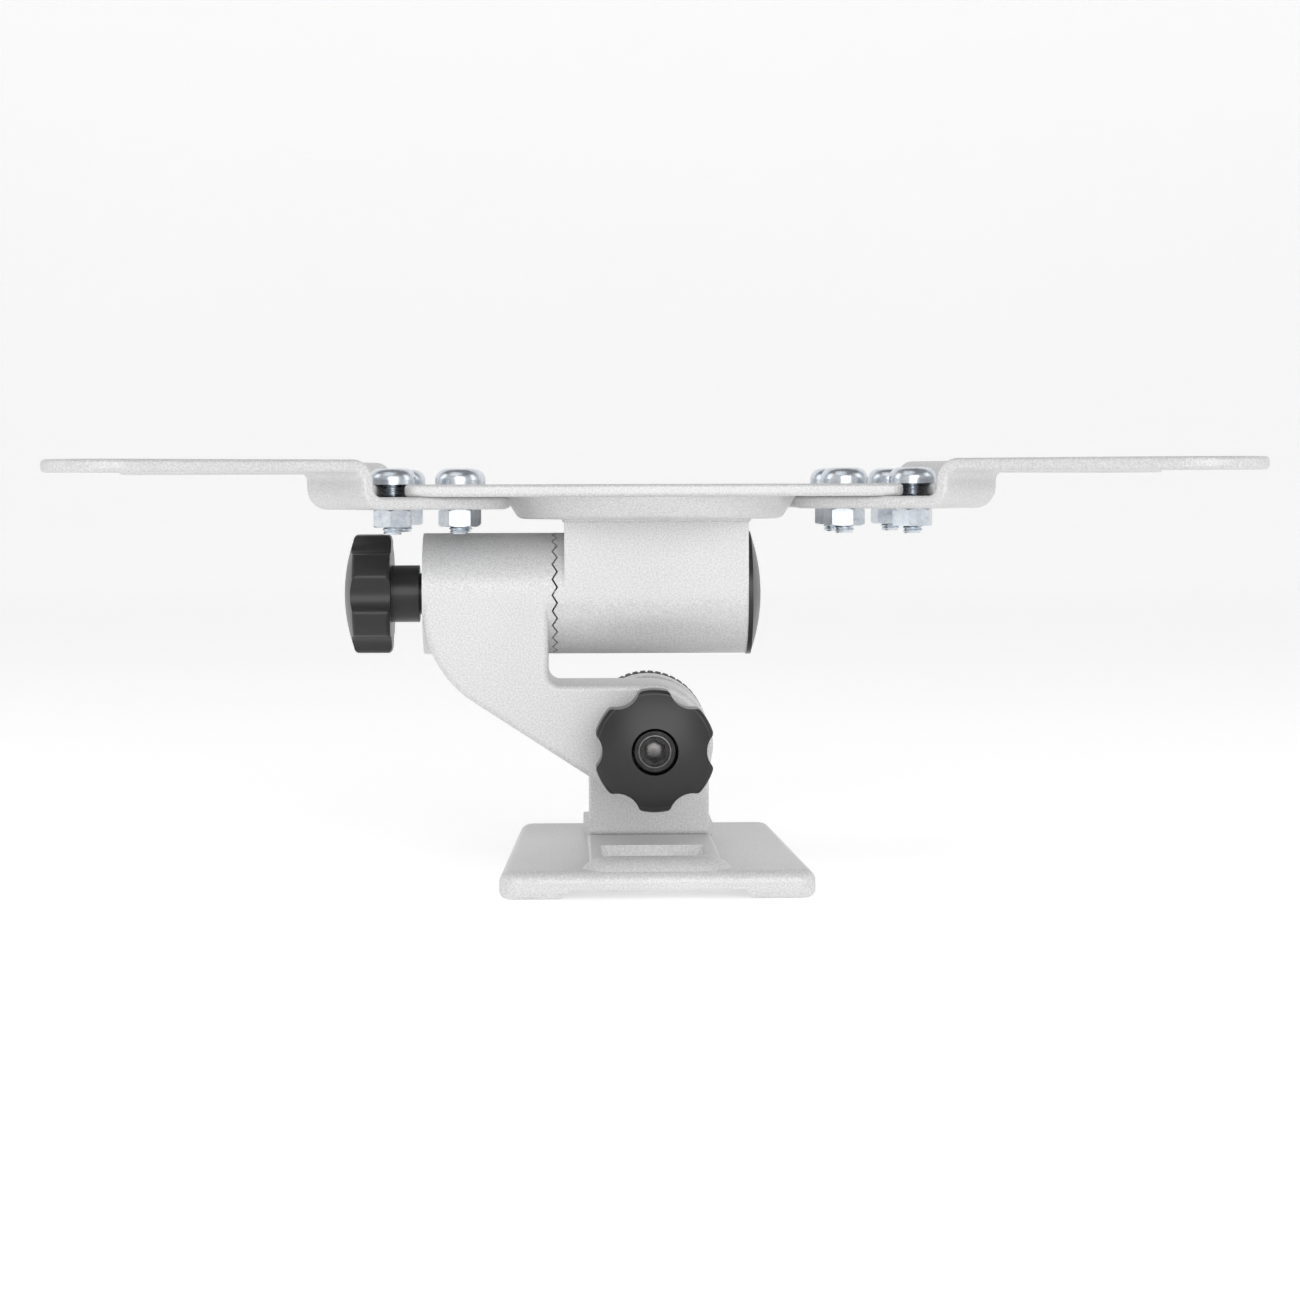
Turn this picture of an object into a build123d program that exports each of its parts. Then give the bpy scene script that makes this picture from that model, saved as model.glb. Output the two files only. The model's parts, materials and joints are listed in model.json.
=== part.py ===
"""Tilt and swivel bracket: flat base, cast arm, toothed swivel, centre plate and four diagonal arms.

Millimetres. Origin at the centre of the base's underside, +Z up, +X along the swivel axis towards
the end cap, -Y towards the tilt knob.
"""
from math import atan2, cos, degrees, radians, sin, tan
import os

from build123d import *

# base plate: two foot strips with a shallow channel between them
BASE_DEPTH = 86.0
BASE_FRONT_WIDTH = 59.4
BASE_BACK_WIDTH = 53.0
BASE_TOP = 5.3
CHANNEL_HEIGHT = 1.9
FOOT_WIDTH = 11.4
FOOT_STEP = 2.0
BASE_CORNER = 3.0
BASE_RIM = 2.2
FOOT_RIM = 1.6
WINDOW_WIDTH = 20.4
WINDOW_REAR = -6.5
WINDOW_FRONT = -32.0
FRAME_WIDTH = 25.2
FRAME_RISE = 0.7
LIP_WIDTH = 28.0
LIP_REAR = -32.6
LIP_FRONT = -41.6
LIP_RISE = 2.2

# tilt joint, axis along Y
TILT_Z = 26.2
HUB_R = 11.9
HUB_HALF = 12.0
HUB_BACK = 11.8
EAR_FRONT = 12.3
EAR_THICK = 10.0
EAR_WIDTH = 24.4
EAR_FOOT_WIDTH = 26.4
EAR_FOOT_REAR = 40.0
EAR_FOOT_HEIGHT = 2.6
RING_THICK = 7.0
RING_R = 12.3
NOTCHES = 48
NOTCH_R = 0.3

# swivel joint, axis along X
SWIVEL_Z = 55.7
BARREL_R = 12.0
BARREL_LEFT = -44.9
TOOTH_X = -19.2
TOOTH_COUNT = 24
TOOTH_HEIGHT = 0.95
TOOTH_GAP = 0.4
TOOTH_INNER_R = 8.0
TUBE_RIGHT = 18.9
TUBE_BORE_R = 9.8
NECK_LEFT = -17.1
NECK_TOP = 70.5
BULKHEAD_X = -12.0
WEB_INNER_X = -20.3
WEB_OUTER_BEND = 22.0
WEB_INNER_BEND = 2.4
CAP_DOME = 2.1

# M5 hardware in the two joints, M4 hardware on the centre plate
SCREW_R = 2.5
RUNNING = 0.06
PLATE_SCREW_R = 2.0
HOLE_R = 2.25
PAN_HEAD_R = 4.6
PAN_HEAD_H = 3.1
PAN_HEAD_ROUND = 2.2
CROSS_LENGTH = 4.8
CROSS_WIDTH = 1.05
CROSS_DEPTH = 1.6
PLATE_NUT_FLATS = 7.0
PLATE_NUT_H = 3.4
SCREW_TIP_Z = 67.7
CAP_HEAD_R = 4.25
CAP_HEAD_H = 5.0
HEX_KEY = 4.0
SOCKET_R = 2.9
SOCKET_DEPTH = 0.7
HEX_DEPTH = 3.2
NUT_FLATS = 8.0
NUT_H = 3.9

# star knobs, six lobes each
KNOB_R = 11.8
SCALLOP_DEPTH = 1.8
SCALLOP_R = 4.4
LOBE_ROUND = 1.3
LOBES = 6
KNOB_RIM = 7.5
KNOB_DOME = 1.9
COLLAR_R = 5.65
COLLAR_LEN = 5.4
KNOB_WASHER = 0.9
WASHER_GAP = 0.03
RECESS_DEPTH = 6.2
INSERT_LENGTH = 11.0
INSERT_R = 3.6

# centre plate, dish and arms
SHEET = 2.4
PLATE_BOTTOM = 74.9
PLATE_TOP = PLATE_BOTTOM + SHEET
DISH_TOP_R = 28.9
DISH_BOTTOM_R = 26.1
DISH_BEND = 1.8
PLATE_HALF_Y = 30.0
PLATE_HALF_X = 57.5
PLATE_EDGE_X = 55.0
PLATE_CORNER_Y = 13.0
SLOT_WIDTH = 5.4
SLOT_MOUTH = 2.2
HORN_ROUND = 1.05
PLATE_CORNER = 3.0
PLATE_RIM = 0.8
INNER_SCREW = (37.5, 12.5)
OUTER_SCREW = (50.0, 20.0)
TIP_HOLE = (100.0, 50.0)
ARM_HALF = 12.0
ARM_LOW = PLATE_BOTTOM - SHEET
ARM_RISE = 7.1
INNER_END = 2.8
JOGGLE = 25.9
BEND_IN = 1.8

ARM_ANGLE = degrees(atan2(TIP_HOLE[1] - INNER_SCREW[1], TIP_HOLE[0] - INNER_SCREW[0]))
ARM_REACH = ((TIP_HOLE[0] - INNER_SCREW[0]) ** 2 + (TIP_HOLE[1] - INNER_SCREW[1]) ** 2) ** 0.5
CORNERS = {"front_left": (-1, -1), "front_right": (1, -1), "rear_left": (-1, 1), "rear_right": (1, 1)}

os.makedirs("parts", exist_ok=True)


def save(piece, label):
    """Name a finished piece and write it."""
    piece.label = label
    export_step(piece, f"parts/{label}.step")


def across(x, z=SWIVEL_Z):
    """Plane facing +X at x, centred on the swivel axis, its local x along +Y."""
    return Plane(origin=(x, 0, z), x_dir=(0, 1, 0), z_dir=(1, 0, 0))


def dome_height(radius, rise, at):
    """Height at a given radius of a spherical cap with this base radius and rise."""
    ball = (radius ** 2 + rise ** 2) / (2 * rise)
    return (ball ** 2 - at ** 2) ** 0.5 - ball + rise


def facing(y, z=TILT_Z):
    """Plane facing -Y at y, centred on the tilt axis, its local y along +Z."""
    return Plane(origin=(0, y, z), x_dir=(1, 0, 0), z_dir=(0, -1, 0))


# ---------------------------------------------------------------- base plate
half_front = BASE_FRONT_WIDTH / 2
half_back = BASE_BACK_WIDTH / 2
half_depth = BASE_DEPTH / 2
foot_in = half_front - FOOT_WIDTH
lip_half_chord = (LIP_REAR - LIP_FRONT) / 2
lip_r = (lip_half_chord ** 2 + LIP_RISE ** 2) / (2 * LIP_RISE)
lip_y = (LIP_REAR + LIP_FRONT) / 2
lip_z = BASE_TOP + LIP_RISE - lip_r
lip_end = LIP_WIDTH / 2 - lip_half_chord
with BuildPart() as front_lip:
    with Locations((0, lip_y, lip_z)):
        Cylinder(lip_r, 2 * lip_end, rotation=(0, 90, 0))
    with Locations((-lip_end, lip_y, lip_z), (lip_end, lip_y, lip_z)):
        Sphere(lip_r)
    split(bisect_by=Plane.XY.offset(BASE_TOP - 1))

with BuildPart() as base_plate:
    with BuildSketch(Plane.XZ.offset(-half_depth)):
        with BuildLine():
            Polyline(
                (-half_front, 0), (-foot_in, 0), (-foot_in + FOOT_STEP, CHANNEL_HEIGHT),
                (foot_in - FOOT_STEP, CHANNEL_HEIGHT), (foot_in, 0), (half_front, 0),
                (half_front, BASE_TOP), (-half_front, BASE_TOP), close=True)
        make_face()
    extrude(amount=BASE_DEPTH)
    with BuildSketch(Plane.XY):
        with BuildLine():
            Polyline(
                (-half_front, -half_depth), (half_front, -half_depth),
                (half_back, half_depth), (-half_back, half_depth), close=True)
        make_face()
    extrude(amount=BASE_TOP, mode=Mode.INTERSECT)
    uprights = [e for e in base_plate.edges().filter_by(Axis.Z) if e.length > BASE_TOP - 0.1]
    fillet(uprights, BASE_CORNER)
    fillet(base_plate.faces().sort_by(Axis.Z)[-1].edges(), BASE_RIM)
    foot_rims = [e for e in base_plate.edges().group_by(Axis.Z)[0] if abs(e.center().X) > foot_in + 0.5]
    fillet(foot_rims, FOOT_RIM)
    with BuildSketch(Plane.XY.offset(BASE_TOP - 1)):
        with Locations((0, (EAR_FRONT + LIP_REAR) / 2)):
            Rectangle(FRAME_WIDTH, EAR_FRONT - LIP_REAR)
    extrude(amount=1 + FRAME_RISE)
    fillet(base_plate.faces().group_by(Axis.Z)[-1].edges().filter_by(Axis.Y), 0.6)
    add(front_lip.part)
    with BuildSketch(Plane.XY):
        with Locations((0, (WINDOW_REAR + WINDOW_FRONT) / 2)):
            RectangleRounded(WINDOW_WIDTH, WINDOW_REAR - WINDOW_FRONT, 1.0)
    extrude(amount=BASE_TOP + 5, mode=Mode.SUBTRACT)
save(base_plate.part, "base_plate")

# ---------------------------------------------------------------- upright ear
ear_back = EAR_FRONT + EAR_THICK
with BuildPart() as pivot_ear:
    with BuildSketch(facing(EAR_FRONT)):
        Circle(EAR_WIDTH / 2)
        with Locations((0, (BASE_TOP - TILT_Z) / 2)):
            Rectangle(EAR_WIDTH, TILT_Z - BASE_TOP)
    extrude(amount=-EAR_THICK)
    fillet(pivot_ear.faces().sort_by(Axis.Y)[0].edges().sort_by(Axis.Z)[0], 1.5)
    with BuildSketch(Plane.XY.offset(BASE_TOP)):
        with Locations((0, (EAR_FRONT + 4 + EAR_FOOT_REAR) / 2)):
            RectangleRounded(EAR_FOOT_WIDTH, EAR_FOOT_REAR - EAR_FRONT - 4, 2)
    extrude(amount=EAR_FOOT_HEIGHT)
    fillet(pivot_ear.faces().sort_by(Axis.Y)[0].edges().filter_by(GeomType.CIRCLE), 0.7)
    with Locations(facing(EAR_FRONT)):
        Hole(SCREW_R + RUNNING)
save(pivot_ear.part, "pivot_ear")

# ---------------------------------------------------------------- tilt hardware on the base
with BuildPart() as friction_disc:
    with BuildSketch(facing(HUB_BACK + 0.05)):
        Circle(10.0)
        Circle(SCREW_R + RUNNING, mode=Mode.SUBTRACT)
    extrude(amount=-(EAR_FRONT - HUB_BACK - 0.05))
save(friction_disc.part, "friction_disc")

with BuildPart() as lock_ring:
    with BuildSketch(facing(ear_back)):
        Circle(RING_R)
        with PolarLocations(RING_R, NOTCHES):
            Circle(NOTCH_R, mode=Mode.SUBTRACT)
        Circle(SCREW_R + RUNNING, mode=Mode.SUBTRACT)
    extrude(amount=-RING_THICK)
    with BuildSketch(facing(ear_back + RING_THICK)):
        RegularPolygon(NUT_FLATS / 2, 6, major_radius=False)
    extrude(amount=NUT_H, mode=Mode.SUBTRACT)
save(lock_ring.part, "lock_ring")

with BuildPart() as tilt_nut:
    with BuildSketch(facing(ear_back + RING_THICK)):
        RegularPolygon(NUT_FLATS / 2, 6, major_radius=False)
        Circle(SCREW_R + RUNNING, mode=Mode.SUBTRACT)
    extrude(amount=NUT_H)
save(tilt_nut.part, "tilt_nut")


# ---------------------------------------------------------------- swivel teeth
def tooth_cutters(apex_x, outward, turn):
    """Wedges that leave a ring of radial teeth: every flank runs to one point on the axis."""
    pitch = 360 / TOOTH_COUNT
    slope = TOOTH_HEIGHT / 2 / BARREL_R
    rise = slope * (1 + 1 / cos(radians(pitch / 2))) / tan(radians(pitch / 2))
    top = 2.0
    cutters = []
    for i in range(TOOTH_COUNT):
        angle = radians(i * pitch + turn)
        radial = Vector(0, cos(angle), sin(angle))
        sections = []
        for rho in (TOOTH_INNER_R - 2, BARREL_R + 2):
            depth = slope * rho
            place = Plane(origin=Vector(apex_x, 0, SWIVEL_Z) + radial * rho,
                          x_dir=(outward, 0, 0), z_dir=radial)
            reach = (top + depth) / rise
            outline = Polyline((-depth, 0), (top, reach), (top, -reach), close=True)
            sections.append(place * make_face(outline))
        cutters.append(loft(sections, ruled=True))
    return cutters


# ---------------------------------------------------------------- cast arm
diagonal = radians(33.1)
normal = Vector(-sin(diagonal), -cos(diagonal))
touch = Vector(0, TILT_Z) + normal * HUB_R
corner_z = touch.Y + (touch.X - BARREL_LEFT) * tan(diagonal)
crest_x = TOOTH_X + TOOTH_HEIGHT / 2
arm_cutters = tooth_cutters(TOOTH_X, 1, 0)
with BuildPart() as swing_arm:
    with BuildSketch(Plane.XZ.offset(-HUB_BACK)):
        with BuildLine():
            Polyline(
                (BARREL_LEFT, SWIVEL_Z), (BARREL_LEFT, corner_z), (touch.X, touch.Y), (0, TILT_Z),
                (0, TILT_Z + HUB_R), (WEB_INNER_X, TILT_Z + HUB_R), (WEB_INNER_X, SWIVEL_Z), close=True)
        make_face()
        fillet(vertices().sort_by_distance((BARREL_LEFT, corner_z, 0))[0], WEB_OUTER_BEND)
        fillet(vertices().sort_by_distance((WEB_INNER_X, TILT_Z + HUB_R, 0))[0], WEB_INNER_BEND)
        with Locations((0, TILT_Z)):
            Circle(HUB_R)
    extrude(amount=HUB_BACK + HUB_HALF)
    rims = [e for e in swing_arm.edges() if abs(abs(e.center().Y) - HUB_HALF) < 0.3
            and e.center().Z < SWIVEL_Z - 1]
    fillet(rims, 1.1)
    with BuildSketch(across(BARREL_LEFT)):
        Circle(BARREL_R)
    extrude(amount=crest_x - BARREL_LEFT)
    with BuildSketch(across(TOOTH_X - 1.0)):
        Circle(TOOTH_INNER_R)
    extrude(amount=3, mode=Mode.SUBTRACT)
    add(arm_cutters, mode=Mode.SUBTRACT)
    with BuildSketch(across(BARREL_LEFT)):
        Circle(SCREW_R + RUNNING)
    extrude(amount=crest_x - BARREL_LEFT, mode=Mode.SUBTRACT)
    with Locations(facing(-HUB_HALF)):
        Hole(SCREW_R + RUNNING)
save(swing_arm.part, "swing_arm")

# ---------------------------------------------------------------- neck: tube, flat-sided block and teeth
root_x = TOOTH_X - TOOTH_HEIGHT / 2 + TOOTH_GAP
neck_cutters = tooth_cutters(TOOTH_X + TOOTH_GAP, -1, 180 / TOOTH_COUNT)
with BuildPart() as neck_tube:
    with BuildSketch(across(root_x)):
        Circle(BARREL_R)
    extrude(amount=TUBE_RIGHT - root_x)
    with BuildSketch(Plane.XY.offset(SWIVEL_Z)):
        with Locations(((NECK_LEFT + TUBE_RIGHT) / 2, 0)):
            Rectangle(TUBE_RIGHT - NECK_LEFT, 2 * BARREL_R)
    extrude(amount=NECK_TOP - SWIVEL_Z)
    with BuildSketch(across(BULKHEAD_X)):
        Circle(TUBE_BORE_R)
    extrude(amount=TUBE_RIGHT - BULKHEAD_X, mode=Mode.SUBTRACT)
    with BuildSketch(across(root_x - 1)):
        Circle(TOOTH_INNER_R)
    extrude(amount=3, mode=Mode.SUBTRACT)
    add(neck_cutters, mode=Mode.SUBTRACT)
    with BuildSketch(across(root_x)):
        Circle(SCREW_R)
    extrude(amount=BULKHEAD_X - root_x, mode=Mode.SUBTRACT)
save(neck_tube.part, "neck_tube")

with BuildPart() as end_cap:
    with BuildSketch(across(TUBE_RIGHT)):
        Circle(BARREL_R + 0.2)
    extrude(amount=0.9)
    with BuildSketch(Plane.XZ):
        with BuildLine():
            Line((TUBE_RIGHT + 0.9, SWIVEL_Z), (TUBE_RIGHT + 0.9, SWIVEL_Z + BARREL_R))
            ThreePointArc(
                (TUBE_RIGHT + 0.9, SWIVEL_Z + BARREL_R),
                (TUBE_RIGHT + 0.9 + dome_height(BARREL_R, CAP_DOME, BARREL_R / 2), SWIVEL_Z + BARREL_R / 2),
                (TUBE_RIGHT + 0.9 + CAP_DOME, SWIVEL_Z))
            Line((TUBE_RIGHT + 0.9 + CAP_DOME, SWIVEL_Z), (TUBE_RIGHT + 0.9, SWIVEL_Z))
        make_face()
    revolve(axis=Axis((0, 0, SWIVEL_Z), (1, 0, 0)))
    with BuildSketch(across(TUBE_RIGHT)):
        Circle(TUBE_BORE_R)
        Circle(TUBE_BORE_R - 1.6, mode=Mode.SUBTRACT)
    extrude(amount=-8.0)
save(end_cap.part, "end_cap")

bolt_tip = BARREL_LEFT - 8.6
bolt_seat = BULKHEAD_X + 1.0
with BuildPart() as swivel_bolt:
    with BuildSketch(across(bolt_tip)):
        Circle(SCREW_R)
    extrude(amount=bolt_seat - bolt_tip)
    chamfer(swivel_bolt.faces().sort_by(Axis.X)[0].edges(), 0.5)
    with BuildSketch(across(bolt_seat)):
        RegularPolygon(NUT_FLATS / 2, 6, major_radius=False)
    extrude(amount=3.5)
save(swivel_bolt.part, "swivel_bolt")

with BuildPart() as bolt_washer:
    with BuildSketch(across(BULKHEAD_X)):
        Circle(5.0)
        Circle(SCREW_R, mode=Mode.SUBTRACT)
    extrude(amount=1.0)
save(bolt_washer.part, "bolt_washer")


# ---------------------------------------------------------------- star knobs
def star_outline():
    """Six-lobe outline with rounded lobe corners and one lobe along local +Y."""
    with BuildSketch() as star:
        Circle(KNOB_R)
        with PolarLocations(KNOB_R - SCALLOP_DEPTH + SCALLOP_R, LOBES):
            Circle(SCALLOP_R, mode=Mode.SUBTRACT)
        fillet(star.vertices(), LOBE_ROUND)
    return star.sketch


def star_knob(seat):
    """Solid six-lobe knob on its seat plane: collar, rim with soft corners, domed face, one lobe on top."""
    rim_start = COLLAR_LEN
    rim_end = COLLAR_LEN + KNOB_RIM
    soft = 0.9
    flat_r = KNOB_R - soft
    eased = soft * (1 - 0.5 ** 0.5)
    side = Plane(origin=seat.origin, x_dir=seat.x_dir, z_dir=seat.x_dir.cross(seat.z_dir))
    with BuildPart() as knob:
        with BuildSketch(side):
            with BuildLine():
                Polyline((0, rim_end + KNOB_DOME), (0, 0), (COLLAR_R, 0), (COLLAR_R, rim_start),
                         (flat_r, rim_start))
                ThreePointArc((flat_r, rim_start), (KNOB_R - eased, rim_start + eased),
                              (KNOB_R, rim_start + soft))
                Line((KNOB_R, rim_start + soft), (KNOB_R, rim_end - soft))
                ThreePointArc((KNOB_R, rim_end - soft), (KNOB_R - eased, rim_end - eased),
                              (flat_r, rim_end))
                ThreePointArc((flat_r, rim_end),
                              (flat_r / 2, rim_end + dome_height(flat_r, KNOB_DOME, flat_r / 2)),
                              (0, rim_end + KNOB_DOME))
            make_face()
        revolve(axis=Axis(seat.origin, seat.z_dir))
        with BuildSketch(seat.offset(rim_start)):
            Circle(KNOB_R + 2)
            add(star_outline(), mode=Mode.SUBTRACT)
        extrude(amount=KNOB_RIM + KNOB_DOME, mode=Mode.SUBTRACT)
    return knob.part


tilt_seat = facing(-HUB_HALF - KNOB_WASHER)
knob_height = COLLAR_LEN + KNOB_RIM + KNOB_DOME
tilt_blank = star_knob(tilt_seat)
with BuildPart() as tilt_knob:
    add(tilt_blank)
    with BuildSketch(tilt_seat.offset(knob_height - RECESS_DEPTH)):
        Circle(CAP_HEAD_R + 0.25)
    extrude(amount=RECESS_DEPTH, mode=Mode.SUBTRACT)
    with BuildSketch(tilt_seat):
        Circle(SCREW_R)
    extrude(amount=knob_height, mode=Mode.SUBTRACT)
save(tilt_knob.part, "tilt_knob")

screw_seat = tilt_seat.offset(knob_height - RECESS_DEPTH)
screw_end_y = ear_back + RING_THICK + NUT_H - 3.4
with BuildPart() as tilt_screw:
    with BuildSketch(screw_seat):
        Circle(CAP_HEAD_R)
    extrude(amount=CAP_HEAD_H)
    fillet(tilt_screw.faces().sort_by(Axis.Y)[0].edges(), 0.5)
    with BuildSketch(screw_seat.offset(CAP_HEAD_H)):
        Circle(SOCKET_R)
    extrude(amount=-SOCKET_DEPTH, mode=Mode.SUBTRACT)
    with BuildSketch(screw_seat.offset(CAP_HEAD_H)):
        RegularPolygon(HEX_KEY / 2, 6, major_radius=False, rotation=30)
    extrude(amount=-HEX_DEPTH, mode=Mode.SUBTRACT)
    with BuildSketch(screw_seat):
        Circle(SCREW_R)
    extrude(amount=-(screw_end_y - screw_seat.origin.Y))
    chamfer(tilt_screw.faces().sort_by(Axis.Y)[-1].edges(), 0.5)
save(tilt_screw.part, "tilt_screw")

with BuildPart() as tilt_washer:
    with BuildSketch(facing(-HUB_HALF - WASHER_GAP)):
        Circle(5.0)
        Circle(SCREW_R + RUNNING, mode=Mode.SUBTRACT)
    extrude(amount=KNOB_WASHER - WASHER_GAP)
save(tilt_washer.part, "tilt_washer")

swivel_seat = Plane(origin=(BARREL_LEFT - KNOB_WASHER, 0, SWIVEL_Z), x_dir=(0, -1, 0), z_dir=(-1, 0, 0))
swivel_blank = star_knob(swivel_seat)
with BuildPart() as swivel_knob:
    add(swivel_blank)
    with BuildSketch(swivel_seat):
        Circle(INSERT_R)
    extrude(amount=INSERT_LENGTH, mode=Mode.SUBTRACT)
save(swivel_knob.part, "swivel_knob")

with BuildPart() as knob_insert:
    with BuildSketch(swivel_seat):
        Circle(INSERT_R)
        Circle(SCREW_R + RUNNING, mode=Mode.SUBTRACT)
    extrude(amount=INSERT_LENGTH)
save(knob_insert.part, "knob_insert")

with BuildPart() as swivel_washer:
    with BuildSketch(swivel_seat):
        Circle(4.1)
        Circle(SCREW_R + RUNNING, mode=Mode.SUBTRACT)
    extrude(amount=-(KNOB_WASHER - WASHER_GAP))
save(swivel_washer.part, "swivel_washer")

# ---------------------------------------------------------------- centre plate with pressed dish
with BuildPart() as centre_plate:
    with BuildSketch(Plane.XY.offset(PLATE_BOTTOM)):
        with BuildLine():
            Polyline(
                (-PLATE_EDGE_X, -PLATE_HALF_Y), (PLATE_EDGE_X, -PLATE_HALF_Y),
                (PLATE_HALF_X, -PLATE_CORNER_Y), (PLATE_HALF_X, PLATE_CORNER_Y),
                (PLATE_EDGE_X, PLATE_HALF_Y), (-PLATE_EDGE_X, PLATE_HALF_Y),
                (-PLATE_HALF_X, PLATE_CORNER_Y), (-PLATE_HALF_X, -PLATE_CORNER_Y), close=True)
        make_face()
        fillet([v for v in vertices() if abs(v.Y) < PLATE_CORNER_Y + 0.1], PLATE_CORNER)
        for across_sign, along_sign in CORNERS.values():
            with Locations((across_sign * OUTER_SCREW[0], along_sign * (OUTER_SCREW[1] + SLOT_WIDTH))):
                SlotCenterToCenter(2 * SLOT_WIDTH, SLOT_WIDTH, rotation=90, mode=Mode.SUBTRACT)
        fillet([v for v in vertices() if abs(v.Y) > PLATE_HALF_Y - 0.1 and abs(v.X) < OUTER_SCREW[0]],
               SLOT_MOUTH)
        fillet([v for v in vertices() if abs(v.Y) > PLATE_HALF_Y - 0.1 and abs(v.X) > OUTER_SCREW[0]],
               HORN_ROUND)
    extrude(amount=SHEET)
    fillet(centre_plate.faces().filter_by(Axis.Z).edges(), PLATE_RIM)
    with BuildSketch(Plane.XZ):
        with BuildLine():
            Polyline((0, NECK_TOP), (DISH_BOTTOM_R, NECK_TOP), (DISH_TOP_R, PLATE_BOTTOM),
                     (DISH_TOP_R + 1, PLATE_TOP - 0.5), (0, PLATE_TOP - 0.5), close=True)
        make_face()
        fillet(vertices(Select.LAST).sort_by_distance((DISH_BOTTOM_R, 0, NECK_TOP))[0], DISH_BEND)
    revolve(axis=Axis.Z)
    with BuildSketch(Plane.XZ):
        with BuildLine():
            Polyline((0, NECK_TOP + SHEET), (DISH_BOTTOM_R - 1.4, NECK_TOP + SHEET),
                     (DISH_TOP_R - 1.2, PLATE_TOP), (DISH_TOP_R - 1.2, PLATE_TOP + 1), (0, PLATE_TOP + 1),
                     close=True)
        make_face()
    revolve(axis=Axis.Z, mode=Mode.SUBTRACT)
    fillet(centre_plate.faces().sort_by(Axis.Z)[-1].inner_wires()[0].edges(), 1.0)
    for across_sign, along_sign in CORNERS.values():
        with Locations((across_sign * INNER_SCREW[0], along_sign * INNER_SCREW[1], PLATE_TOP)):
            Hole(HOLE_R)
save(centre_plate.part, "centre_plate")


# ---------------------------------------------------------------- diagonal arms
def diagonal_arm(label, across_sign, along_sign):
    """Joggled flat arm from its inner end under the centre plate to its round tip."""
    heading = Vector(across_sign * cos(radians(ARM_ANGLE)), along_sign * sin(radians(ARM_ANGLE)), 0)
    start = Vector(across_sign * INNER_SCREW[0], along_sign * INNER_SCREW[1], 0)
    side_plane = Plane(origin=start, x_dir=heading, z_dir=heading.cross(Vector(0, 0, 1)))
    wall_in = JOGGLE - SHEET / 2
    wall_out = JOGGLE + SHEET / 2
    low = ARM_LOW
    high = ARM_LOW + ARM_RISE
    inner = INNER_END - ARM_HALF
    outer = ARM_REACH + ARM_HALF
    with BuildPart() as arm:
        with BuildSketch(side_plane):
            with BuildLine():
                Polyline((inner, low), (wall_out, low), (wall_out, high), (outer, high),
                         (outer, high + SHEET), (wall_in, high + SHEET), (wall_in, low + SHEET),
                         (inner, low + SHEET), close=True)
            make_face()
            for radius, bends in ((BEND_IN + SHEET, ((wall_out, low), (wall_in, high + SHEET))),
                                  (BEND_IN, ((wall_out, high), (wall_in, low + SHEET)))):
                for bend_x, bend_z in bends:
                    fillet(vertices().sort_by_distance((bend_x, bend_z, 0))[0], radius)
        extrude(amount=ARM_HALF, both=True)
        outline_plane = Plane(origin=start, x_dir=heading, z_dir=(0, 0, 1))
        with BuildSketch(outline_plane):
            with Locations(((INNER_END + ARM_REACH) / 2, 0)):
                SlotCenterToCenter(ARM_REACH - INNER_END, 2 * ARM_HALF)
        extrude(amount=PLATE_TOP + 20, mode=Mode.INTERSECT)
        rims = [e for e in arm.edges()
                if abs(e.tangent_at(0.5).dot(side_plane.z_dir)) < 0.9 and abs(e.tangent_at(0.5).Z) < 0.95]
        fillet(rims, 0.8)
        for reach, top in ((0, low + SHEET), (OUTER_REACH, low + SHEET), (ARM_REACH, high + SHEET)):
            with Locations(Location(side_plane.from_local_coords((reach, top, 0)))):
                Hole(HOLE_R)
    save(arm.part, label)


OUTER_REACH = ((OUTER_SCREW[0] - INNER_SCREW[0]) ** 2 + (OUTER_SCREW[1] - INNER_SCREW[1]) ** 2) ** 0.5
for corner, signs in CORNERS.items():
    diagonal_arm(f"arm_{corner}", *signs)


# ---------------------------------------------------------------- screws and nuts
def pan_screw(label, x, y):
    """M4 pan head screw, head on the centre plate, with a cross recess."""
    with BuildPart() as screw:
        with BuildSketch(Plane.XY.offset(PLATE_TOP)):
            with Locations((x, y)):
                Circle(PAN_HEAD_R)
        extrude(amount=PAN_HEAD_H)
        fillet(screw.faces().sort_by(Axis.Z)[-1].edges(), PAN_HEAD_ROUND)
        with BuildSketch(Plane.XY.offset(PLATE_TOP + PAN_HEAD_H)):
            with Locations((x, y)):
                Rectangle(CROSS_LENGTH, CROSS_WIDTH)
                Rectangle(CROSS_WIDTH, CROSS_LENGTH)
        extrude(amount=-CROSS_DEPTH, taper=12, mode=Mode.SUBTRACT)
        with BuildSketch(Plane.XY.offset(PLATE_TOP)):
            with Locations((x, y)):
                Circle(PLATE_SCREW_R)
        extrude(amount=-(PLATE_TOP - SCREW_TIP_Z))
        chamfer(screw.faces().sort_by(Axis.Z)[0].edges(), 0.4)
    save(screw.part, label)


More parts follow.
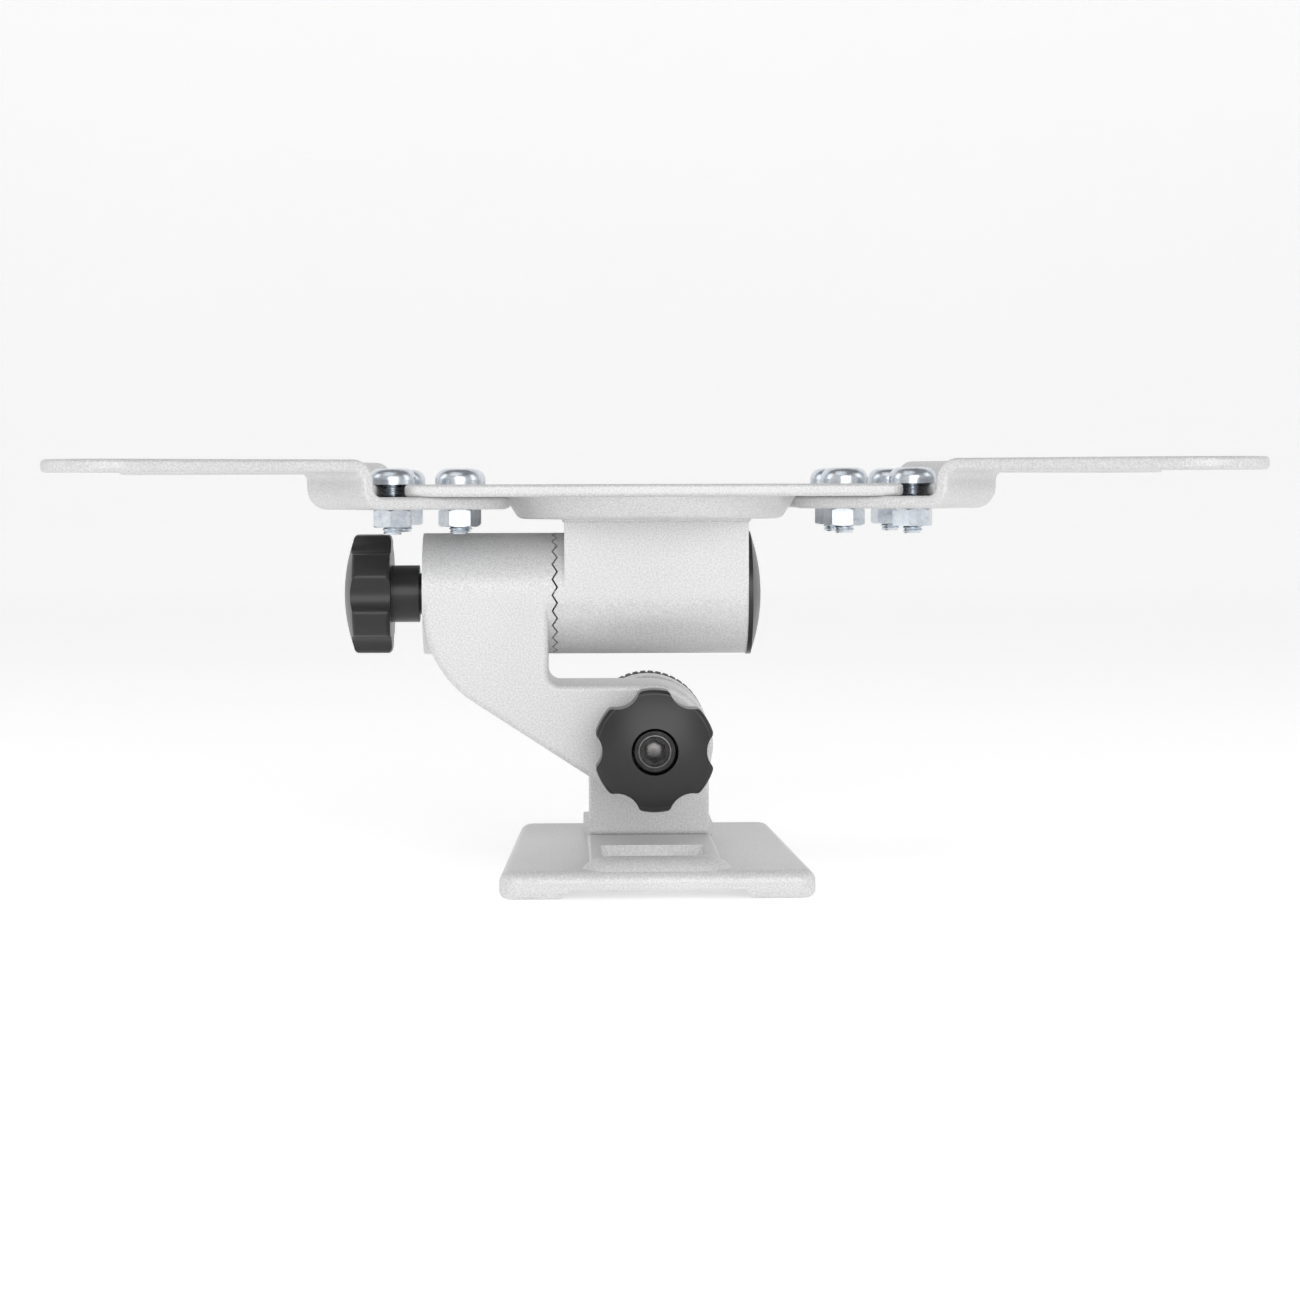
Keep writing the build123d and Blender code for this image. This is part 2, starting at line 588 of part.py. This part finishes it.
def hex_nut(label, x, y, turn):
    """M4 hex nut under an arm, both ends chamfered."""
    corner_r = PLATE_NUT_FLATS / 3 ** 0.5
    with BuildPart() as nut:
        with BuildSketch(Plane.XY.offset(ARM_LOW)):
            with Locations((x, y)):
                Circle(corner_r)
        extrude(amount=-PLATE_NUT_H)
        chamfer(nut.edges().filter_by(GeomType.CIRCLE), 0.32, 0.55)
        with BuildSketch(Plane.XY.offset(ARM_LOW)):
            with Locations((x, y)):
                RegularPolygon(PLATE_NUT_FLATS / 2, 6, major_radius=False, rotation=turn)
                Circle(PLATE_SCREW_R, mode=Mode.SUBTRACT)
        extrude(amount=-PLATE_NUT_H, mode=Mode.INTERSECT)
    save(nut.part, label)


turn = 4.0
for corner, (across_sign, along_sign) in CORNERS.items():
    for row, (screw_x, screw_y) in (("inner", INNER_SCREW), ("outer", OUTER_SCREW)):
        pan_screw(f"screw_{row}_{corner}", across_sign * screw_x, along_sign * screw_y)
        hex_nut(f"nut_{row}_{corner}", across_sign * screw_x, along_sign * screw_y, turn)
        turn = (turn + 23.0) % 60
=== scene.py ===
"""Looks of the tilting bracket: materials, threaded screws, socket, weld bead, floor, light and camera."""
import json
import math

import bmesh
import bpy
from mathutils import Matrix, Vector


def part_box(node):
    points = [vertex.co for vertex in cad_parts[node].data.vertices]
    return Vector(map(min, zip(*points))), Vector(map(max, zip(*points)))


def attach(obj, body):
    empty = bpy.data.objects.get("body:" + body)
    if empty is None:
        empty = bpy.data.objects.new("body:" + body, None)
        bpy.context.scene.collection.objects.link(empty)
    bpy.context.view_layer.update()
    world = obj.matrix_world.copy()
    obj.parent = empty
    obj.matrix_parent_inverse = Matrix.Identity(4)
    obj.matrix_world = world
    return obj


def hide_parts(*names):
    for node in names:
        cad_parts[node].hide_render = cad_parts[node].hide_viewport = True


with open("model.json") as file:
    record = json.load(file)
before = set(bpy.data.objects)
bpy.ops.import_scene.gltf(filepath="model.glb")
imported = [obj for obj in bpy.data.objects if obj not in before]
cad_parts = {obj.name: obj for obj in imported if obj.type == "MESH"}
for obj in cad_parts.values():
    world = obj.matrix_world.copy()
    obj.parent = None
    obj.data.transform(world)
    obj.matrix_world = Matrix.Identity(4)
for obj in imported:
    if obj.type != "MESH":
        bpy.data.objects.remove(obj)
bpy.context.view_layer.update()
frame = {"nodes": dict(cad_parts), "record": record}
nodes = frame["nodes"]
MM = 0.001


# ---------------------------------------------------------------- node tree helpers
def new_material(name):
    """Material with an empty tree apart from a Principled shader and the output."""
    material = bpy.data.materials.new(name)
    material.use_nodes = True
    tree = material.node_tree
    shader = tree.nodes["Principled BSDF"]
    return material, tree, shader


def link(tree, source, target):
    tree.links.new(source, target)


def coordinates(tree):
    """Object coordinates in metres: a node's mesh is in the row frame, so one scale suits all."""
    return tree.nodes.new("ShaderNodeTexCoord").outputs["Object"]


def noise_node(tree, where, scale, detail=3.0, rough=0.5):
    node = tree.nodes.new("ShaderNodeTexNoise")
    node.inputs["Scale"].default_value = scale
    node.inputs["Detail"].default_value = detail
    node.inputs["Roughness"].default_value = rough
    link(tree, where, node.inputs["Vector"])
    return node.outputs["Fac"]


def ramp(tree, factor, stops):
    """Colour ramp from (position, grey or rgb) stops."""
    node = tree.nodes.new("ShaderNodeValToRGB")
    elements = node.color_ramp.elements
    while len(elements) < len(stops):
        elements.new(0.5)
    for element, (position, colour) in zip(elements, stops):
        element.position = position
        rgb = colour if isinstance(colour, tuple) else (colour, colour, colour)
        element.color = (*rgb, 1.0)
    link(tree, factor, node.inputs["Fac"])
    return node.outputs["Color"]


def remap(tree, factor, low, high):
    node = tree.nodes.new("ShaderNodeMapRange")
    node.inputs["To Min"].default_value = low
    node.inputs["To Max"].default_value = high
    link(tree, factor, node.inputs["Value"])
    return node.outputs["Result"]


def multiply(tree, first, second, amount=1.0):
    node = tree.nodes.new("ShaderNodeMix")
    node.data_type = "RGBA"
    node.blend_type = "MULTIPLY"
    node.inputs["Factor"].default_value = amount
    link(tree, first, node.inputs["A"])
    link(tree, second, node.inputs["B"])
    return node.outputs["Result"]


def bump(tree, shader, heights, distance):
    """Stacks bumps: heights are (factor output, strength) pairs."""
    normal = None
    for factor, strength in heights:
        node = tree.nodes.new("ShaderNodeBump")
        node.inputs["Strength"].default_value = strength
        node.inputs["Distance"].default_value = distance
        link(tree, factor, node.inputs["Height"])
        if normal is not None:
            link(tree, normal, node.inputs["Normal"])
        normal = node.outputs["Normal"]
    link(tree, normal, shader.inputs["Normal"])


# ---------------------------------------------------------------- materials
def powder_coat(name):
    """Silver-grey powder coat: fine orange peel, tiny bright and dark flakes, faint cloudiness."""
    material, tree, shader = new_material(name)
    where = coordinates(tree)
    flakes = noise_node(tree, where, 3000, 2.0, 0.7)
    peel = noise_node(tree, where, 900, 3.0, 0.6)
    cloud = noise_node(tree, where, 45, 3.0)
    colour = ramp(tree, flakes, ((0.32, 0.56), (0.5, 0.66), (0.68, 0.77)))
    tint = ramp(tree, cloud, ((0.3, 0.95), (0.7, 1.0)))
    link(tree, multiply(tree, colour, tint), shader.inputs["Base Color"])
    link(tree, remap(tree, peel, 0.36, 0.58), shader.inputs["Roughness"])
    shader.inputs["Metallic"].default_value = 0.25
    shader.inputs["Specular IOR Level"].default_value = 0.5
    bump(tree, shader, ((peel, 0.14), (flakes, 0.10)), 0.0002)
    return material


def satin_plastic(name, tone=0.011, rough=0.30, shine=0.5):
    """Black moulded plastic with spark-eroded grain and a faintly smeared sheen."""
    material, tree, shader = new_material(name)
    where = coordinates(tree)
    grain = noise_node(tree, where, 2200, 2.0, 0.6)
    smear = noise_node(tree, where, 120, 4.0)
    colour = ramp(tree, smear, ((0.3, tone * 0.85), (0.7, tone * 1.25)))
    link(tree, colour, shader.inputs["Base Color"])
    link(tree, remap(tree, smear, rough - 0.05, rough + 0.08), shader.inputs["Roughness"])
    shader.inputs["Specular IOR Level"].default_value = shine
    bump(tree, shader, ((grain, 0.12),), 0.0001)
    return material


def bright_zinc(name):
    """Blue-white zinc plating: crystalline patches, fine drawing marks, cool tint."""
    material, tree, shader = new_material(name)
    where = coordinates(tree)
    patch = noise_node(tree, where, 700, 4.0, 0.6)
    fine = noise_node(tree, where, 4200, 2.0, 0.6)
    colour = ramp(tree, patch, ((0.25, (0.48, 0.53, 0.60)), (0.5, (0.62, 0.66, 0.71)),
                                (0.8, (0.76, 0.78, 0.80))))
    link(tree, colour, shader.inputs["Base Color"])
    shader.inputs["Metallic"].default_value = 1.0
    link(tree, remap(tree, patch, 0.16, 0.34), shader.inputs["Roughness"])
    bump(tree, shader, ((patch, 0.10), (fine, 0.08)), 0.0001)
    return material


def black_oxide(name, wear=1.0):
    """Blackened steel: dark, faintly brown-blue, with an oiled sheen; more wear is lighter."""
    material, tree, shader = new_material(name)
    where = coordinates(tree)
    patch = noise_node(tree, where, 500, 4.0)
    fine = noise_node(tree, where, 3000, 2.0)
    colour = ramp(tree, patch, ((0.3, (0.016 * wear, 0.016 * wear, 0.018 * wear)),
                                (0.7, (0.040 * wear, 0.038 * wear, 0.036 * wear))))
    link(tree, colour, shader.inputs["Base Color"])
    shader.inputs["Metallic"].default_value = 0.8
    link(tree, remap(tree, patch, 0.20, 0.34), shader.inputs["Roughness"])
    bump(tree, shader, ((fine, 0.12),), 0.0001)
    return material


def turned_brass(name):
    """Brass with fine turning marks."""
    material, tree, shader = new_material(name)
    where = coordinates(tree)
    marks = noise_node(tree, where, 2500, 3.0)
    colour = ramp(tree, marks, ((0.3, (0.46, 0.32, 0.12)), (0.7, (0.66, 0.48, 0.20))))
    link(tree, colour, shader.inputs["Base Color"])
    shader.inputs["Metallic"].default_value = 1.0
    link(tree, remap(tree, marks, 0.22, 0.40), shader.inputs["Roughness"])
    bump(tree, shader, ((marks, 0.15),), 0.0001)
    return material


COAT = powder_coat("powder_coat_silver")
PLASTIC = satin_plastic("satin_black_plastic")
NYLON = satin_plastic("black_nylon", tone=0.03, rough=0.5)
ZINC = bright_zinc("bright_zinc")
OXIDE = black_oxide("black_oxide_steel")
WORN_STEEL = black_oxide("worn_black_steel", wear=5.0)
BRASS = turned_brass("turned_brass")
RING_PLASTIC = satin_plastic("dull_black_ring", tone=0.006, rough=0.5, shine=0.08)
SLOT_MATERIAL = {
    "powder_coat": COAT, "black_plastic": PLASTIC, "black_steel": OXIDE,
    "zinc": ZINC, "nylon": NYLON, "brass": BRASS,
}


def dress(piece, material):
    """Give a piece one material in every slot."""
    if not piece.data.materials:
        piece.data.materials.append(material)
    for index in range(len(piece.data.materials)):
        piece.data.materials[index] = material


for row in frame["record"]["subparts"]:
    dress(nodes[row["node"]], SLOT_MATERIAL[row["material_slot"]])
dress(nodes["lock_ring"], RING_PLASTIC)


# ---------------------------------------------------------------- mesh helpers
def mesh_piece(name, build, body, slot, smooth_angle=32):
    """Make an object from a bmesh builder, shade it and ride it on a body."""
    mesh = bpy.data.meshes.new(name)
    bm = bmesh.new()
    build(bm)
    bmesh.ops.recalc_face_normals(bm, faces=bm.faces)
    bm.to_mesh(mesh)
    bm.free()
    piece = bpy.data.objects.new(name, mesh)
    bpy.context.scene.collection.objects.link(piece)
    mesh.shade_smooth()
    mesh.set_sharp_from_angle(angle=math.radians(smooth_angle))
    dress(piece, SLOT_MATERIAL[slot])
    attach(piece, body)
    return piece


def join_rings(bm, first, second):
    """Quads between two closed rings with the same number of vertices."""
    for side in range(len(first)):
        after = (side + 1) % len(first)
        bm.faces.new((first[side], first[after], second[after], second[side]))


# ---------------------------------------------------------------- threaded screws
PLATE_TOP = 77.3 * MM
SCREW_TIP = 67.7 * MM
THREAD_R = 2.0 * MM
THREAD_DEPTH = 0.34 * MM
THREAD_PITCH = 0.7 * MM
THREAD_SIDES = 40
THREAD_ROWS = 8
CREST_SHARPNESS = 1.25
END_LENGTH = 0.5 * MM
END_TAPER = 0.45 * MM
HEAD_SINK = 0.2 * MM
SHANK_MARGIN = 0.01 * MM


def add_thread(bm, centre, top, tip):
    """Helical thread about a vertical axis from top down to tip, faded into a chamfered end."""
    length = top - tip
    count = int(length / THREAD_PITCH * THREAD_ROWS)
    rows = []
    for row in range(count + 1):
        ring = []
        for side in range(THREAD_SIDES):
            angle = 2 * math.pi * side / THREAD_SIDES
            drop = length * row / count
            phase = (drop / THREAD_PITCH + side / THREAD_SIDES) % 1.0
            groove = 1 - abs(2 * phase - 1)
            left = length - drop
            end = max(0.0, 1 - left / END_LENGTH) * END_TAPER
            radius = THREAD_R - THREAD_DEPTH * min(1.0, CREST_SHARPNESS * groove) - end * (1 - groove)
            ring.append(bm.verts.new(
                centre + Vector((radius * math.cos(angle), radius * math.sin(angle), top - drop))))
        rows.append(ring)
    for upper, lower in zip(rows, rows[1:]):
        join_rings(bm, upper, lower)
    bm.faces.new(rows[-1])
    bm.faces.new(rows[0])


def threaded_screw(node_name):
    """The node's own head with its cross recess, on a real helical thread."""
    low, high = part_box(node_name)
    centre = Vector(((low[0] + high[0]) / 2, (low[1] + high[1]) / 2, 0.0))

    def build(bm):
        bm.from_mesh(nodes[node_name].data)
        shank = [v for v in bm.verts if v.co.z < PLATE_TOP - SHANK_MARGIN]
        bmesh.ops.delete(bm, geom=shank, context="VERTS")
        add_thread(bm, centre, PLATE_TOP + HEAD_SINK, SCREW_TIP)

    piece = mesh_piece(node_name + "_threaded", build, "head", "zinc")
    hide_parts(node_name)


for node_name in sorted(nodes):
    if node_name.startswith("screw_"):
        threaded_screw(node_name)


# ---------------------------------------------------------------- tilt screw: worn socket edge and floor
SCREW_FACE_Y = -26.5 * MM
SOCKET_FLOOR_Y = -23.3 * MM
TILT_Z = 26.2 * MM
SOCKET_SIDES = 48
EDGE_PROFILE = ((3.25, 0.04), (3.1, -0.03), (2.95, -0.02), (2.8, 0.12), (2.95, 0.2))
CONE_R = 1.75 * MM
CONE_RIM = 0.06 * MM
CONE_TIP = 0.45 * MM


def ring_points(bm, radius, y):
    """Circle of vertices about the tilt axis."""
    ring = []
    for side in range(SOCKET_SIDES):
        angle = 2 * math.pi * side / SOCKET_SIDES
        ring.append(bm.verts.new((radius * math.cos(angle), y, TILT_Z + radius * math.sin(angle))))
    return ring


def add_socket_wear(bm):
    """Rounded worn edge round the socket's mouth and a shallow cone on its floor."""
    edge = [ring_points(bm, radius * MM, SCREW_FACE_Y + lift * MM) for radius, lift in EDGE_PROFILE]
    for index, ring in enumerate(edge):
        join_rings(bm, ring, edge[(index + 1) % len(edge)])
    rim = ring_points(bm, CONE_R, SOCKET_FLOOR_Y - CONE_RIM)
    tip = bm.verts.new((0.0, SOCKET_FLOOR_Y - CONE_TIP, TILT_Z))
    for side in range(SOCKET_SIDES):
        bm.faces.new((rim[side], rim[(side + 1) % SOCKET_SIDES], tip))
    bm.faces.new(rim)


dress(mesh_piece("tilt_screw_socket_wear", add_socket_wear, "tilt_knob", "black_steel", 30), WORN_STEEL)


# ---------------------------------------------------------------- weld bead under the dish
NECK_TOP = 70.5 * MM
BEAD_R = 0.55 * MM
BEAD_CORNERS = ((-17.0, -11.9), (18.8, -11.9), (18.8, 11.9), (-17.0, 11.9))
BEAD_STEP = 0.6 * MM
BEAD_SIDES = 10
BEAD_Z = NECK_TOP - 0.1 * MM
RIPPLES = ((0.14, 1.6), (0.05, 0.37))
UP = Vector((0, 0, 1))


def add_bead(bm):
    """Rippled bead round the neck block's upper edge."""
    points = []
    for index, (x, y) in enumerate(BEAD_CORNERS):
        start = Vector((x * MM, y * MM, BEAD_Z))
        after = BEAD_CORNERS[(index + 1) % len(BEAD_CORNERS)]
        end = Vector((after[0] * MM, after[1] * MM, BEAD_Z))
        count = int((end - start).length / BEAD_STEP)
        for step in range(count):
            points.append(start.lerp(end, step / count))
    rings = []
    for index, point in enumerate(points):
        along = (points[(index + 1) % len(points)] - points[index - 1]).normalized()
        side = along.cross(UP)
        radius = BEAD_R * (1 + sum(height * math.sin(index * pace) for height, pace in RIPPLES))
        ring = []
        for corner in range(BEAD_SIDES):
            angle = 2 * math.pi * corner / BEAD_SIDES
            ring.append(bm.verts.new(point + radius * (math.cos(angle) * side + math.sin(angle) * UP)))
        rings.append(ring)
    for index, ring in enumerate(rings):
        join_rings(bm, ring, rings[(index + 1) % len(rings)])


mesh_piece("neck_weld_bead", add_bead, "head", "powder_coat", 180)


# ---------------------------------------------------------------- floor, light, camera
CAMERA_PLACE = Vector((-0.01828, -0.61332, 0.07645))
CAMERA_TARGET = Vector((-0.0001, 0.0, 0.04429))
CAMERA_LENS = 85.4
CAMERA_ROLL = math.radians(-0.16)


def make_floor():
    """Pale seamless floor that curves up into a backdrop behind the object."""
    mesh = bpy.data.meshes.new("studio_floor")
    bm = bmesh.new()
    width = 6.0
    front = -3.0
    back = 2.0
    radius = 1.2
    profile = [(front, 0.0), (back, 0.0)]
    steps = 16
    for i in range(1, steps + 1):
        angle = math.pi / 2 * i / steps
        profile.append((back + radius * math.sin(angle), radius * (1 - math.cos(angle))))
    profile.append((back + radius, 5.0))
    rows = [(bm.verts.new((-width, y, z)), bm.verts.new((width, y, z))) for y, z in profile]
    for (a, b), (c, d) in zip(rows, rows[1:]):
        bm.faces.new((a, b, d, c))
    bm.to_mesh(mesh)
    bm.free()
    mesh.shade_smooth()
    floor = bpy.data.objects.new("studio_floor", mesh)
    bpy.context.scene.collection.objects.link(floor)
    material, tree, shader = new_material("pale_floor")
    shade = noise_node(tree, coordinates(tree), 3.0)
    link(tree, ramp(tree, shade, ((0.0, 0.93), (1.0, 0.95))), shader.inputs["Base Color"])
    shader.inputs["Emission Color"].default_value = (1.0, 1.0, 1.0, 1.0)
    shader.inputs["Emission Strength"].default_value = 0.34
    shader.inputs["Roughness"].default_value = 0.9
    shader.inputs["Specular IOR Level"].default_value = 0.0
    floor.data.materials.append(material)


def area_light(name, place, target, size, power, tall=None):
    light = bpy.data.lights.new(name, "AREA")
    light.shape = "RECTANGLE"
    light.size = size
    light.size_y = tall or size
    light.energy = power
    lamp = bpy.data.objects.new(name, light)
    lamp.location = place
    lamp.rotation_euler = (Vector(target) - Vector(place)).to_track_quat("-Z", "Y").to_euler()
    bpy.context.scene.collection.objects.link(lamp)


def make_studio():
    world = bpy.data.worlds.new("studio")
    world.use_nodes = True
    background = world.node_tree.nodes["Background"]
    background.inputs["Strength"].default_value = 0.8
    direction = world.node_tree.nodes.new("ShaderNodeTexCoord")
    split = world.node_tree.nodes.new("ShaderNodeSeparateXYZ")
    link(world.node_tree, direction.outputs["Generated"], split.inputs["Vector"])
    sky = ramp(world.node_tree, split.outputs["Z"], ((0.0, 0.9), (0.35, 0.85), (0.8, 0.35)))
    link(world.node_tree, sky, background.inputs["Color"])
    bpy.context.scene.world = world
    middle = (0.0, 0.0, 0.04)
    area_light("key_above", (-0.25, -0.45, 0.9), middle, 0.7, 1.2)
    area_light("front_soft", (0.1, -1.2, 0.25), middle, 1.0, 6.5)
    area_light("side_left", (-0.9, -0.1, 0.35), middle, 0.4, 1.2, 0.9)
    area_light("side_right", (0.9, -0.2, 0.35), middle, 0.4, 1.2, 0.9)


def make_camera():
    data = bpy.data.cameras.new("camera")
    data.lens = CAMERA_LENS
    data.sensor_width = 36.0
    data.clip_start = 0.01
    camera = bpy.data.objects.new("camera", data)
    camera.location = CAMERA_PLACE
    look = (CAMERA_TARGET - CAMERA_PLACE).to_track_quat("-Z", "Y").to_matrix().to_4x4()
    roll = Matrix.Rotation(CAMERA_ROLL, 4, "Z")
    camera.rotation_euler = (look @ roll).to_euler()
    bpy.context.scene.collection.objects.link(camera)
    bpy.context.scene.camera = camera


make_floor()
make_studio()
make_camera()
bpy.context.scene.view_settings.view_transform = "Standard"
